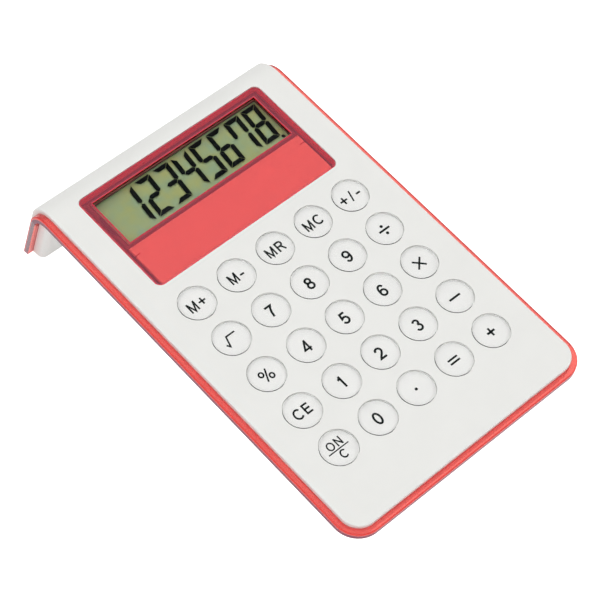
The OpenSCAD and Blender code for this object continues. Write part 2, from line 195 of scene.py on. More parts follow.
def clear_plastic(name, ior, roughness, absorbed=None, density=0.0, wave_scale=120, wave_depth=0.000004):
    """See-through plastic or glass, tinted by its depth where absorbed gives the colour that passes."""
    made, shader, add = new_material(name)
    shader.inputs["Transmission Weight"].default_value = 1.0
    shader.inputs["IOR"].default_value = ior
    shader.inputs["Base Color"].default_value = (1, 1, 1, 1)
    wear = object_noise(add, 400, 3.0)
    rough = between(add, wear.outputs["Fac"], roughness * 0.5, roughness * 1.5)
    feed(made, rough, shader.inputs["Roughness"])
    grained(made, add, shader, wave_scale, wave_depth)
    if absorbed:
        volume = add("ShaderNodeVolumeAbsorption")
        volume.inputs["Color"].default_value = (*absorbed, 1)
        volume.inputs["Density"].default_value = density
        feed(made, volume.outputs["Volume"], made.node_tree.nodes["Material Output"].inputs["Volume"])
    lets_lamps_through(made, add, shader)
    return made


def marked(add, name):
    """A number kept on each corner of the mesh by mark()."""
    node = add("ShaderNodeAttribute")
    node.attribute_name = name
    return node.outputs["Fac"]


def colours_along(add, value, stops):
    """Colours blended along 0...1, from stops of (place, colour)."""
    ramp = add("ShaderNodeValToRGB", Fac=value)
    points = ramp.color_ramp.elements
    while len(points) < len(stops):
        points.new(1.0)
    for point, (place_along, colour) in zip(points, stops):
        point.position = place_along
        point.color = (*colour, 1)
    return ramp.outputs["Color"]


def tinted_plastic(name, passed, density, face, wall, shares):
    """Red see-through plastic: clear, tinted by its depth, with a share of scattered light whose colours are
    painted light and shade.

    The face and wall colours lie along the marks "turn", from the face over the edge to the wall, and "depth",
    down the wall. They are painted light and shade that follow the way the surface faces: a lighter face, a
    rounded edge painted brighter on the lens and darker on the plate, and painted shade down the walls. The shares
    are those of the scattered light on the face and on the wall.
    """
    made = clear_plastic(name, 1.49, 0.03, passed, density)
    tree = made.node_tree
    add = adder(tree)
    turn = marked(add, "turn")
    shown = add("ShaderNodeMix")
    shown.data_type = "RGBA"
    tree.links.new(turn_to_wall(add, turn), shown.inputs["Factor"])
    tree.links.new(colours_along(add, turn, face), shown.inputs["A"])
    tree.links.new(colours_along(add, marked(add, "depth"), wall), shown.inputs["B"])
    clear = tree.nodes["Principled BSDF"]
    scatter_with_painted_light = tree.nodes.new("ShaderNodeBsdfPrincipled")
    tree.links.new(shown.outputs["Result"], scatter_with_painted_light.inputs["Base Color"])
    scatter_with_painted_light.inputs["Roughness"].default_value = 0.12
    share = add("ShaderNodeMapRange", Value=turn)
    share.inputs["From Min"].default_value = 0.05
    share.inputs["From Max"].default_value = 0.25
    share.inputs["To Min"].default_value = shares[0]
    share.inputs["To Max"].default_value = shares[1]
    mixed = add("ShaderNodeMixShader", Fac=share.outputs["Result"])
    lamps = clear.outputs["BSDF"].links[0].to_node
    tree.links.new(clear.outputs["BSDF"], mixed.inputs[1])
    tree.links.new(scatter_with_painted_light.outputs["BSDF"], mixed.inputs[2])
    tree.links.new(mixed.outputs["Shader"], lamps.inputs[1])
    return made


def turn_to_wall(add, turn):
    """1 on a wall, 0 on a face and on the rounded edge between them."""
    node = add("ShaderNodeMapRange", Value=turn)
    node.inputs["From Min"].default_value = 0.75
    node.inputs["From Max"].default_value = 0.95
    return node.outputs["Result"]


def metal(name, colour, roughness):
    made, shader, add = new_material(name)
    shader.inputs["Metallic"].default_value = 1.0
    brushed = object_noise(add, 2200, 4.0)
    lighter = [min(1.0, c * 1.06) for c in colour]
    share = between(add, brushed.outputs["Fac"], 0, 1)
    feed(made, two_colours(add, share, colour, lighter), shader.inputs["Base Color"])
    rough = between(add, brushed.outputs["Fac"], roughness - 0.07, roughness + 0.07)
    feed(made, rough, shader.inputs["Roughness"])
    return made


PANEL = (0.97, 0.97, 0.96)
SPECK = (0.5, 0.32, 0.32)
SPECK_SCALE = 1300
SPECK_FROM = (0.735, 0.765)  # the noise above which a speck starts and is full


def panel_sheet():
    """The white sheet behind the lens, with a few fine specks in it."""
    made, shader, add = new_material("panel_white")
    specks = object_noise(add, SPECK_SCALE, 1.0)
    where = add("ShaderNodeMapRange", Value=specks.outputs["Fac"])
    for key, value in zip(("From Min", "From Max"), SPECK_FROM):
        where.inputs[key].default_value = value
    feed(made, two_colours(add, where.outputs["Result"], PANEL, SPECK), shader.inputs["Base Color"])
    shader.inputs["Roughness"].default_value = 0.5
    grained(made, add, shader, 4000, 0.00001)
    return made


FILM_BLUISH = (0.34, 0.46, 0.28)
FILM_YELLOWISH = (0.45, 0.49, 0.20)


def mottled_film():
    """The display's grey-green reflector, with broad yellowish and bluish clouds."""
    made, shader, add = new_material("lcd_film")
    clouds = object_noise(add, 210, 2.0)
    share = between(add, clouds.outputs["Fac"], 0, 1)
    feed(made, two_colours(add, share, FILM_BLUISH, FILM_YELLOWISH), shader.inputs["Base Color"])
    shader.inputs["Roughness"].default_value = 0.6
    grained(made, add, shader, 5000, 0.000004)
    return made


RED_PASSED = (0.995, 0.16, 0.01)
RED_DENSITY = 550
CORAL = (0.95, 0.13, 0.125)
# Painted light: the plate's flat face is a lighter pink than its rounded edge.
LIT_FACE_PINK = (0.93, 0.15, 0.15)
# Painted shade: the plate's rounded edge is darker than its face.
SHADED_FILLET_RED = (0.80, 0.055, 0.05)
# Painted highlight: a bright red line along the lens's rounded edges.
HIGHLIGHT_LINE_RED = (0.92, 0.03, 0.05)
PINK = (0.62, 0.19, 0.28)
# Painted shade: the plate's walls turn purple below their top.
SHADED_WALL_PURPLE = (0.20, 0.02, 0.07)
# Painted shade: the lens's walls, round it and in its opening, are nearly black.
SHADED_WALL_BLACK = (0.012, 0.003, 0.004)
# These stops paint light and shade: the colour changes with the way the surface faces and with how deep down its
# wall a point lies.
PLATE_FACE = [(0.0, LIT_FACE_PINK), (0.004, LIT_FACE_PINK), (0.025, SHADED_FILLET_RED), (0.6, SHADED_FILLET_RED)]
PLATE_WALL = [(0.0, CORAL), (0.3, CORAL), (0.42, SHADED_WALL_PURPLE), (1.0, SHADED_WALL_PURPLE)]
LENS_FACE = [(0.0, PINK), (0.12, PINK), (0.3, HIGHLIGHT_LINE_RED), (0.7, HIGHLIGHT_LINE_RED)]
LENS_WALL = [(0.0, SHADED_WALL_BLACK), (1.0, SHADED_WALL_BLACK)]
MATERIALS = {
    "cover_white": moulded("cover_white", (0.80, 0.80, 0.775), 0.38),
    "case_white": moulded("case_white", (0.80, 0.80, 0.78), 0.42),
    "key_white": moulded("key_white", (0.94, 0.94, 0.92), 0.4),
    "panel_white": panel_sheet(),
    "holder_dark": moulded("holder_dark", (0.17, 0.08, 0.07), 0.5),
    "tint_red": tinted_plastic("tint_red", RED_PASSED, RED_DENSITY, PLATE_FACE, PLATE_WALL, (0.45, 0.9)),
    "lens_red": tinted_plastic("lens_red", RED_PASSED, RED_DENSITY, LENS_FACE, LENS_WALL, (0.22, 0.95)),
    "pane_clear": clear_plastic("pane_clear", 1.49, 0.02),
    "key_clear": clear_plastic("key_clear", 1.49, 0.02),
    "lcd_glass": clear_plastic("lcd_glass", 1.2, 0.02),
    "lcd_film": mottled_film(),
    "lcd_black": moulded("lcd_black", (0.002, 0.004, 0.004), 0.6),
    "legend_black": moulded("legend_black", (0.004, 0.007, 0.007), 0.6),
    "zebra_rubber": moulded("zebra_rubber", (0.55, 0.36, 0.38), 0.6),
    "board_green": moulded("board_green", (0.03, 0.2, 0.08), 0.35),
    "resin_black": moulded("resin_black", (0.015, 0.015, 0.015), 0.3),
    "chip_tan": moulded("chip_tan", (0.35, 0.25, 0.16), 0.5),
    "keypad_rubber": moulded("keypad_rubber", (0.7, 0.71, 0.7), 0.6),
    "cell_steel": metal("cell_steel", (0.72, 0.72, 0.71), 0.25),
    "contact_gold": metal("contact_gold", (0.8, 0.63, 0.3), 0.25),
    "screw_steel": metal("screw_steel", (0.62, 0.62, 0.61), 0.3),
    "foot_rubber": moulded("foot_rubber", (0.6, 0.6, 0.58), 0.7, 3000, 0.00002),
}

# ---- Making pieces ----


def place(name, mesh, body, slot, *replaced):
    """Puts a mesh made in the plate's frame on a body, in place of the CAD nodes that it stands for."""
    mesh.transform(PLATE)
    mesh.materials.clear()
    mesh.materials.append(MATERIALS[slot])
    piece = bpy.data.objects.new(name, mesh)
    bpy.context.scene.collection.objects.link(piece)
    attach(piece, body)
    if replaced:
        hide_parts(*replaced)
    return piece


def shade(mesh, angle=35):
    """Smooth shading, with edges sharper than the angle kept."""
    for face in mesh.polygons:
        face.use_smooth = True
    mesh.set_sharp_from_angle(angle=math.radians(angle))


def mark(mesh, sheet):
    """Keeps two numbers on each corner of a sheet's mesh: "turn", which is 0 on its faces and 1 on its
    walls, and "depth", which is 0 at its upper face and 1 at its lower one.

    The sheet is a function from a point to the way the sheet faces there and the depth of the point.
    """
    turns = mesh.attributes.new("turn", "FLOAT", "CORNER")
    depths = mesh.attributes.new("depth", "FLOAT", "CORNER")
    for face in mesh.polygons:
        way, _ = sheet(face.center)
        turn = 1 - abs(face.normal.dot(way))
        for loop_index in face.loop_indices:
            point = mesh.vertices[mesh.loops[loop_index].vertex_index].co
            turns.data[loop_index].value = turn
            depths.data[loop_index].value = sheet(point)[1]


def lathe(profile, x, y, steps=72):
    """A solid turned about an axis at (x, y), from a profile of (r, z) that starts and ends on it."""
    made = bmesh.new()
    rings = []
    for r, z in profile:
        if r == 0:
            rings.append([made.verts.new((x, y, z))])
        else:
            turns = [2 * math.pi * i / steps for i in range(steps)]
            rings.append([made.verts.new((x + r * math.cos(a), y + r * math.sin(a), z)) for a in turns])
    for first, second in zip(rings, rings[1:]):
        for i in range(steps):
            j = (i + 1) % steps
            if len(first) == 1:
                made.faces.new((first[0], second[i], second[j]))
            elif len(second) == 1:
                made.faces.new((first[i], second[0], first[j]))
            else:
                made.faces.new((first[i], second[i], second[j], first[j]))
    bmesh.ops.recalc_face_normals(made, faces=made.faces)
    return finished(made)


def finished(made, angle=35):
    mesh = bpy.data.meshes.new("mesh")
    made.to_mesh(mesh)
    made.free()
    shade(mesh, angle)
    return mesh


def arc(x, y, rx, ry, start, end, steps=None):
    """Points along an ellipse from one angle to another, in degrees."""
    steps = steps or max(4, int(abs(end - start) / 9))
    angles = [math.radians(start + (end - start) * i / steps) for i in range(steps + 1)]
    return [(x + rx * math.cos(a), y + ry * math.sin(a)) for a in angles]


def rounded_outline(w, l, x, y, r, steps=8):
    """A rectangle with round corners, centred at (x, y)."""
    corners = [(1, 1, 0), (-1, 1, 90), (-1, -1, 180), (1, -1, 270)]
    points = []
    for side, end, start in corners:
        points += arc(x + side * (w / 2 - r), y + end * (l / 2 - r), r, r, start, start + 90, steps)
    return points


def slab(outlines, low, high, edge, fillet_steps=3):
    """A flat solid with round edges, from closed outlines of which the first goes round the rest."""
    curve = bpy.data.curves.new("slab", "CURVE")
    curve.dimensions = "2D"
    curve.fill_mode = "BOTH"
    curve.extrude = (high - low) / 2 - edge
    curve.bevel_depth = edge
    curve.bevel_resolution = fillet_steps
    curve.offset = -edge
    for points in outlines:
        spline = curve.splines.new("POLY")
        spline.points.add(len(points) - 1)
        for point, (x, y) in zip(spline.points, points):
            point.co = (x, y, 0, 1)
        spline.use_cyclic_u = True
    holder = bpy.data.objects.new("slab", curve)
    bpy.context.scene.collection.objects.link(holder)
    bpy.context.view_layer.update()
    mesh = bpy.data.meshes.new_from_object(holder.evaluated_get(bpy.context.evaluated_depsgraph_get()))
    bpy.data.objects.remove(holder)
    made = bmesh.new()
    made.from_mesh(mesh)
    bmesh.ops.remove_doubles(made, verts=made.verts, dist=edge * 0.02)
    bmesh.ops.translate(made, verts=made.verts, vec=(0, 0, (low + high) / 2))
    bmesh.ops.recalc_face_normals(made, faces=made.faces)
    return finished(made)


def bar(x0, x1, y0, y1, low, high, edge):
    outline = [(x0, y0), (x1, y0), (x1, y1), (x0, y1)]
    return slab([outline], low, high, edge)


# ---- Signs, drawn as strokes ----

STROKE = 0.165  # of a sign's height
EDGE = STROKE / 2
TOP = 1 - EDGE


def prism(made, points, low, high):
    """A closed solid over an outline, between two levels."""
    lower = [made.verts.new((x, y, low)) for x, y in points]
    upper = [made.verts.new((x, y, high)) for x, y in points]
    made.faces.new(lower)
    made.faces.new(upper)
    for i in range(len(points)):
        j = (i + 1) % len(points)
        made.faces.new((lower[i], lower[j], upper[j], upper[i]))


def ribbon(made, points, half, low, high, closed=False):
    """A closed solid of even width along a line of points, between two levels."""
    count = len(points)
    sections = []
    for i, point in enumerate(points):
        here = Vector(point)
        before = Vector(points[i - 1]) if i or closed else None
        after = Vector(points[(i + 1) % count]) if i < count - 1 or closed else None
        into = (here - before).normalized() if before else (after - here).normalized()
        out = (after - here).normalized() if after else into
        across = Vector((-(into + out).y, (into + out).x)).normalized()
        wide = half / max(0.35, across.dot(Vector((-into.y, into.x))))
        left, right = here + across * wide, here - across * wide
        sections.append([made.verts.new((*p, z)) for z in (low, high) for p in (left, right)])
    pairs = list(zip(sections, sections[1:]))
    if closed:
        pairs.append((sections[-1], sections[0]))
    for (a, b, c, d), (e, f, g, h) in pairs:
        for face in ((a, b, f, e), (c, g, h, d), (a, e, g, c), (b, d, h, f)):
            made.faces.new(face)
    if not closed:
        made.faces.new((sections[0][0], sections[0][2], sections[0][3], sections[0][1]))
        last = sections[-1]
        made.faces.new((last[0], last[1], last[3], last[2]))


def loop(x, y, rx, ry):
    return arc(x, y, rx, ry, 0, 360, 40)[:-1], True


def line(*points):
    return list(points), False


def dot(x, y, r):
    return arc(x, y, r, r, 0, 360, 20)[:-1], "filled"


def turned(strokes, width):
    """Strokes turned upside down."""
    return [([(width - x, 1 - y) for x, y in points], closed) for points, closed in strokes]


SIX = [
    loop(0.31, 0.31, 0.245, 0.245),
    (arc(0.335, 0.50, 0.27, 0.435, 38, 180, 18) + [(0.065, 0.31)], False),
]
# Each sign's width and strokes, for a height of 1
SIGNS = {
    "0": (0.62, [loop(0.31, 0.5, 0.245, 0.435)]),
    "1": (0.52, [line((0.335, 0), (0.335, 1)), (arc(0.08, 1.0, 0.26, 0.26, -85, -8, 6), False)]),
    "2": (0.62, [(
        arc(0.31, 0.69, 0.235, 0.245, 172, -25, 20)
        + [(0.43, 0.45), (0.16, 0.20), (0.075, EDGE), (0.60, EDGE)], False
    )]),
    "3": (0.62, [
        (arc(0.29, 0.735, 0.205, 0.20, 160, -90, 20), False),
        (arc(0.29, 0.30, 0.245, 0.235, 90, -165, 22), False),
    ]),
    "4": (0.62, [
        line((0.46, 0), (0.46, 1)),
        line((0.63, 0.25), (0.03, 0.25), (0.45, 0.93)),
    ]),
    "5": (0.62, [(
        [(0.56, TOP), (0.165, TOP), (0.10, 0.505)] + arc(0.295, 0.325, 0.255, 0.26, 135, -160, 22), False
    )]),
    "6": (0.62, SIX),
    "7": (0.62, [line((0.04, TOP), (0.575, TOP), (0.42, 0.70), (0.30, 0.40), (0.235, 0))]),
    "8": (0.62, [loop(0.31, 0.735, 0.205, 0.20), loop(0.31, 0.30, 0.245, 0.235)]),
    "9": (0.62, turned(SIX, 0.62)),
    "M": (0.84, [
        line((EDGE, 0), (EDGE, 1)),
        line((0.76, 0), (0.76, 1)),
        line((EDGE + 0.01, 0.96), (0.42, 0.04), (0.75, 0.96)),
    ]),
    "R": (0.74, [
        (
            [(EDGE, 0), (EDGE, TOP)] + arc(0.42, 0.715, 0.22, 0.22, 90, -90, 12) + [(EDGE, 0.495)],
            False,
        ),
        line((0.36, 0.495), (0.50, 0.36), (0.69, 0.0)),
    ]),
    "C": (0.78, [(arc(0.43, 0.5, 0.365, 0.435, 42, 318, 30), False)]),
    "E": (0.68, [
        line((0.63, TOP), (EDGE, TOP), (EDGE, EDGE), (0.65, EDGE)),
        line((EDGE, 0.51), (0.60, 0.51)),
    ]),
    "O": (0.86, [loop(0.43, 0.5, 0.365, 0.435)]),
    "N": (0.74, [
        line((EDGE, 0), (EDGE, 1)),
        line((0.675, 0), (0.675, 1)),
        line((EDGE + 0.01, 0.95), (0.665, 0.05)),
    ]),
    "+": (0.68, [line((0.34, 0.16), (0.34, 0.84)), line((0.0, 0.5), (0.68, 0.5))]),
    "-": (0.46, [line((0.02, 0.40), (0.44, 0.40))]),
    "−": (1.05, [line((0.0, 0.5), (1.05, 0.5))]),
    "=": (0.90, [line((0.0, 0.34), (0.9, 0.34)), line((0.0, 0.66), (0.9, 0.66))]),
    "×": (0.80, [line((0.02, 0.12), (0.78, 0.88)), line((0.02, 0.88), (0.78, 0.12))]),
    "÷": (1.0, [
        line((0.0, 0.5), (1.0, 0.5)),
        dot(0.5, 0.85, 0.125),
        dot(0.5, 0.15, 0.125),
    ]),
    "·": (0.3, [dot(0.15, 0.5, 0.125)]),
    "√": (1.29, [line((0.03, 0.33), (0.20, 0.07), (0.46, 0.91), (1.26, 0.91))]),
    "%": (1.1, [
        loop(0.24, 0.74, 0.175, 0.195), loop(0.86, 0.26, 0.175, 0.195), line((0.78, 1.0), (0.32, 0.0))
    ]),
    "/": (0.40, [line((0.34, 1.0), (0.06, 0.0))]),
}
SIGN_GAP = 0.24
# Heights of the signs on the keys, in millimetres
HEIGHTS = {"+": 4.8, "−": 4.5, "=": 4.5, "×": 4.7, "÷": 4.5, "·": 4.4, "√": 4.4, "%": 4.5}
LETTER_HEIGHT = 3.9
DIGIT_HEIGHT = 4.5
# How thick a sign's strokes are beside the others'
WEIGHTS = {
    "O": 0.95, "N": 0.95, "%": 0.78, "/": 0.8, "M": 0.9, "4": 0.92, "√": 0.78, "+": 0.95, "×": 0.85,
    "=": 0.9,
}


def sign_rows(sign):
    """What is written on a key: (text, height, x and y of its middle)."""
    if sign == "ON/C":
        return [("ON", 3.1, -0.05, 2.05), ("C", 3.1, 0.15, -2.3)]
    if sign == "±":
        return [("+/-", 4.2, 0, 0)]
    if len(sign) == 2:
        return [(sign, LETTER_HEIGHT, 0, 0)]
    return [(sign, HEIGHTS.get(sign, DIGIT_HEIGHT), 0, 0)]


def write(made, text, height, x, y, low, high):
    """Adds a text's strokes, centred at (x, y)."""
    width = sum(SIGNS[c][0] for c in text) + SIGN_GAP * (len(text) - 1)
    left = x - width * height / 2
    bottom = y - height / 2
    for c in text:
        advance, strokes = SIGNS[c]
        for points, closed in strokes:
            moved = [(left + px * height, bottom + py * height) for px, py in points]
            if closed == "filled":
                prism(made, moved, low, high)
            else:
                ribbon(made, moved, EDGE * height * WEIGHTS.get(c, 1), low, high, closed)
        left += (advance + SIGN_GAP) * height


# ---- Keys ----

KEY_LOW, KEY_HIGH = span(MIDDLE_KEY)
FLANGE_R = (KEY_HIGH.x - KEY_LOW.x) / 2
KEY_R = FLANGE_R - 0.85
FLANGE_TOP = -2.2
FLANGE_LOW = -3.0
PLUNGER_R = 2.5
PLUNGER_LOW = KEY_LOW.z
DOME = 0.15
KEY_EDGE = 0.3
CORE_TOP = -1.66
CAP_LOW = -1.6
CUP_IN = KEY_R + 0.03
CUP_OUT = KEY_R + 0.2
CUP_TOP = -0.95
INK = 0.03


def fillet(r, z, radius, start, end, steps=5):
    """Points of a rounded edge in a profile, round a centre."""
    return arc(r, z, radius, radius, start, end, steps)


def cap_profile():
    """Half the section of a key's clear cap: a domed disc."""
    sphere = (KEY_R * KEY_R + DOME * DOME) / (2 * DOME)
    rings = [(KEY_R - KEY_EDGE) * i / 8 for i in range(9)]
    top = [(r, math.sqrt(sphere * sphere - r * r) - sphere) for r in rings]
    shoulder = top[-1][1] - KEY_EDGE
    edge = fillet(KEY_R - KEY_EDGE, shoulder, KEY_EDGE, 90, 0)[1:]
    return top + edge + [(KEY_R, CAP_LOW), (0, CAP_LOW)]


def core_profile():
    """Half the section of a key's white core: a cup for the cap, a flange and a plunger."""
    soft = 0.12
    return (
        [(0, CORE_TOP), (CUP_IN, CORE_TOP), (CUP_IN, CUP_TOP), (CUP_OUT, CUP_TOP), (CUP_OUT, FLANGE_TOP)]
        + fillet(FLANGE_R - soft, FLANGE_TOP - soft, soft, 90, 0, 3)
        + fillet(FLANGE_R - soft, FLANGE_LOW + soft, soft, 0, -90, 3)
        + [(PLUNGER_R, FLANGE_LOW), (PLUNGER_R, PLUNGER_LOW), (0, PLUNGER_LOW)]
    )


def make_key(node, sign):
    at = middle(node)
    place(node + ".core", lathe(core_profile(), at.x, at.y), node, "key_white", node)
    place(node + ".cap", lathe(cap_profile(), at.x, at.y), node, "key_clear")
    made = bmesh.new()
    for text, height, x, y in sign_rows(sign):
        write(made, text, height, at.x + x, at.y + y, CORE_TOP, CORE_TOP + INK)
    if sign == "ON/C":
        ribbon(made, [(at.x - 4.1, at.y - 0.1), (at.x + 4.1, at.y - 0.1)], 0.2, CORE_TOP, CORE_TOP + INK)
    place(node + ".sign", finished(made), node, "legend_black")


for key_node, key_sign in KEY_SIGNS.items():
    make_key(key_node, key_sign)

# ---- Display ----

DIGITS = "12345678"
DIGIT_H = 15.4
DIGIT_W = 6.4
DIGIT_PITCH = 7.88
DIGIT_LOW_Y = 69.3
LAST_DIGIT_X = 31.8
SEGMENT = 1.7
POINT_AT = (34.8, 68.6)
POINT_R = 0.62
SEGMENT_GAP = 0.14
SLANT = math.tan(math.radians(6))
LIT = {
    "1": "bc", "2": "abged", "3": "abgcd", "4": "fgbc", "5": "afgcd", "6": "afgedc", "7": "fabc",
    "8": "abcdefg",
}


def segment_outlines():
    """The seven segments of a digit centred at 0, as outlines with mitred ends."""
    w, h, t, g = DIGIT_W / 2, DIGIT_H / 2, SEGMENT, SEGMENT_GAP
    half = t / 2
    top = [(-w + g, h), (w - g, h), (w - t - g, h - t), (-w + t + g, h - t)]
    upper_left = [
        (-w, h - g), (-w + t, h - t - g), (-w + t, half + g), (-w + half, g), (-w, half * 0.6 + g),
    ]
    middle_bar = [
        (-w + half + g, 0), (-w + t + g, half), (w - t - g, half), (w - half - g, 0), (w - t - g, -half),
        (-w + t + g, -half),
    ]

    def flipped(points, x, y):
        return [(px * x, py * y) for px, py in points]

    return {
        "a": top,
        "b": flipped(upper_left, -1, 1),
        "c": flipped(upper_left, -1, -1),
        "d": flipped(top, 1, -1),
        "e": flipped(upper_left, 1, -1),
        "f": upper_left,
        "g": middle_bar,
    }


GLASS_LOW, GLASS_HIGH = span("lcd_front_glass")
REAR_LOW, REAR_HIGH = span("lcd_rear_glass")
CRYSTAL_GAP = 0.06


def make_digits():
    outlines = segment_outlines()
    made = bmesh.new()
    low = REAR_HIGH.z - CRYSTAL_GAP / 2
    high = low + CRYSTAL_GAP / 4
    centre_y = DIGIT_LOW_Y + DIGIT_H / 2
    for i, digit in enumerate(DIGITS):
        x = LAST_DIGIT_X - (len(DIGITS) - 1 - i) * DIGIT_PITCH
        for name in LIT[digit]:
            points = [(x + px + py * SLANT, centre_y + py) for px, py in outlines[name]]
            prism(made, points, low, high)
    prism(made, arc(*POINT_AT, POINT_R, POINT_R, 0, 360, 16)[:-1], low, high)
    bmesh.ops.recalc_face_normals(made, faces=made.faces)
    place("lcd_digits", finished(made), "body", "lcd_black")


def glass_sheet(name, low, high, replaced):
    edge = 0.06
    mesh = bar(low.x, high.x, low.y, high.y, low.z, high.z, edge)
    place(name, mesh, "body", "lcd_glass", replaced)


front_low = GLASS_LOW + Vector((0, 0, CRYSTAL_GAP / 4))
glass_sheet("front_glass", front_low, GLASS_HIGH, "lcd_front_glass")
rear_high = REAR_HIGH - Vector((0, 0, CRYSTAL_GAP))
glass_sheet("rear_glass", REAR_LOW + Vector((0, 0, 0.02)), rear_high, "lcd_rear_glass")
make_digits()

LENS_LOW, LENS_HIGH = span("display_lens")
PANE_LOW, PANE_HIGH = span("lcd_pane")
PANE_RIM = 0.9
LENS_EDGE = 0.5
AIR = 0.03  # between clear pieces that touch, so that each keeps its own surface


def make_lens():
    centre = (LENS_LOW + LENS_HIGH) / 2
    outer = rounded_outline(LENS_HIGH.x - LENS_LOW.x, LENS_HIGH.y - LENS_LOW.y, centre.x, centre.y, 2.5)
    x0, x1 = PANE_LOW.x + PANE_RIM, PANE_HIGH.x - PANE_RIM
    y0, y1 = PANE_LOW.y + PANE_RIM, PANE_HIGH.y - PANE_RIM
    inner = [(x0, y0), (x0, y1), (x1, y1), (x1, y0)]
    mesh = slab([outer, inner], LENS_LOW.z + AIR, LENS_HIGH.z, LENS_EDGE)
    thickness = LENS_HIGH.z - LENS_LOW.z
    mark(mesh, lambda point: (Vector((0, 0, 1)), (LENS_HIGH.z - point.z) / thickness))
    place("lens", mesh, "body", "lens_red", "display_lens")


def make_pane():
    mesh = bar(PANE_LOW.x, PANE_HIGH.x, PANE_LOW.y, PANE_HIGH.y, PANE_LOW.z, PANE_HIGH.z - AIR, 0.08)
    place("pane", mesh, "body", "pane_clear", "lcd_pane")


make_lens()
make_pane()

CLIP_HALF = 6
CLIP_BOW = 1.7
CLIP_END_X = 38  # how far out the clips bow
CLIP_LOW = PANE_LOW.z - 0.045
CLIP_HIGH = PANE_LOW.z - 0.01


def make_clips():
    """A thin dark crescent on each side of the display's frame, which stands for its bowed clip."""
    made = bmesh.new()
    radius = (CLIP_HALF ** 2 + CLIP_BOW ** 2) / (2 * CLIP_BOW)
    spread = math.degrees(math.asin(CLIP_HALF / radius))
    centre = (PANE_LOW.y + PANE_HIGH.y) / 2
    for side, way in ((1, 0), (-1, 180)):
        x = side * (CLIP_END_X - radius)
        outline = arc(x, centre, radius, radius, way - spread, way + spread, 20)
        prism(made, outline, CLIP_LOW, CLIP_HIGH)
    bmesh.ops.recalc_face_normals(made, faces=made.faces)
    place("holder_clips", finished(made), "body", "resin_black")


PANEL_LOW, PANEL_HIGH = span("lens_panel")
TICK_Y = 60.7
TICK = (1.9, 0.4)


def make_ticks():
    """A short printed tick at each end of the panel."""
    made = bmesh.new()
    for side in (-1, 1):
        ends = sorted(side * (PANEL_HIGH.x - inset) for inset in (0.1, 0.1 + TICK[0]))
        corners = [(x, TICK_Y + y) for y in (-TICK[1] / 2, TICK[1] / 2) for x in ends]
        outline = [corners[0], corners[1], corners[3], corners[2]]
        prism(made, outline, PANEL_HIGH.z, PANEL_HIGH.z + AIR / 2)
    bmesh.ops.recalc_face_normals(made, faces=made.faces)
    place("panel_ticks", finished(made), "body", "zebra_rubber")


make_clips()
make_ticks()

# ---- Rubber keypad ----

MAT_LOW, MAT_HIGH = span("rubber_keypad")
MAT_TOP = MAT_LOW.z + 1
MAT_EDGE = 0.12
DOME_BASE_R = 4.4
DOME_TOP_R = 3.2
DOME_WALL = 0.7
DOME_TOP = MAT_HIGH.z
PILL_R = 1.5
PILL_T = 0.82
PILL_EDGE = 0.1


def make_dome(node):
    """A hollow rubber dome, and the pill that goes down with the key."""
    at = middle(node)
    soft = 0.25
    inside = DOME_TOP - DOME_WALL
    profile = (
        [(0, DOME_TOP), (DOME_TOP_R - soft, DOME_TOP), (DOME_TOP_R - soft / 3, DOME_TOP - soft / 3)]
        + [(DOME_TOP_R, DOME_TOP - soft), (DOME_BASE_R, MAT_TOP), (DOME_BASE_R - DOME_WALL, MAT_TOP)]
        + [(DOME_TOP_R - DOME_WALL, inside), (0, inside)]
    )
    dome = place("dome." + node, lathe(profile, at.x, at.y, 48), "body", "keypad_rubber")
    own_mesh(dome)
    top = inside - 0.01
    low = top - PILL_T
    pill = [(0, top), (PILL_R, top), (PILL_R, low + PILL_EDGE), (PILL_R - PILL_EDGE, low), (0, low)]
    place("pill." + node, lathe(pill, at.x, at.y, 32), node, "resin_black")


def make_keypad():
    size = MAT_HIGH - MAT_LOW
    centre = (MAT_HIGH + MAT_LOW) / 2
    outlines = [rounded_outline(size.x, size.y, centre.x, centre.y, 1.5)]
    hole_r = DOME_BASE_R - DOME_WALL
    for node in KEY_SIGNS:
        at = middle(node)
        outlines.append(arc(at.x, at.y, hole_r, hole_r, 0, 360, 40)[:-1])
    sheet = slab(outlines, MAT_LOW.z, MAT_TOP, MAT_EDGE)
    place("keypad_sheet", sheet, "body", "keypad_rubber", "rubber_keypad")
    for node in KEY_SIGNS:
        make_dome(node)


make_keypad()

# ---- CAD nodes whose sharp edges are rounded off ----

SOFTENED = {
    "battery_cap": 0.18, "case_screws": 0.1, "board_screws": 0.08, "front_feet": 0.5, "leg_feet": 0.2,
    "chip_parts": 0.15, "lcd_holder": 0.08, "lcd_connector": 0.15, "circuit_board": 0.1,
}
SHARP = math.radians(40)


def soften(node, width):
    """Replaces a CAD node by its own shape with rounded edges."""
    made = bmesh.new()
    made.from_mesh(frame["nodes"][node].data)
    bmesh.ops.transform(made, matrix=FROM_PLATE, verts=made.verts)
    bmesh.ops.remove_doubles(made, verts=made.verts, dist=0.001)
    bmesh.ops.dissolve_limit(made, angle_limit=math.radians(1), verts=made.verts, edges=made.edges)
    sharp = [e for e in made.edges if len(e.link_faces) == 2 and e.calc_face_angle() > SHARP]
    bmesh.ops.bevel(
        made, geom=sharp, offset=width, segments=2, profile=0.5, affect="EDGES", clamp_overlap=True
    )
    slot = next(p["material_slot"] for p in frame["record"]["subparts"] if p["node"] == node)
    body = "battery_cap" if node == "battery_cap" else "body"
    place(node + ".soft", finished(made), body, slot, node)


for soft_node, soft_width in SOFTENED.items():
    soften(soft_node, soft_width)

# ---- CAD nodes that are shown ----


def dress(node, slot):
    """Gives a CAD node its finished material."""
    mesh = frame["nodes"][node].data
    mesh.materials.clear()
    mesh.materials.append(MATERIALS[slot])


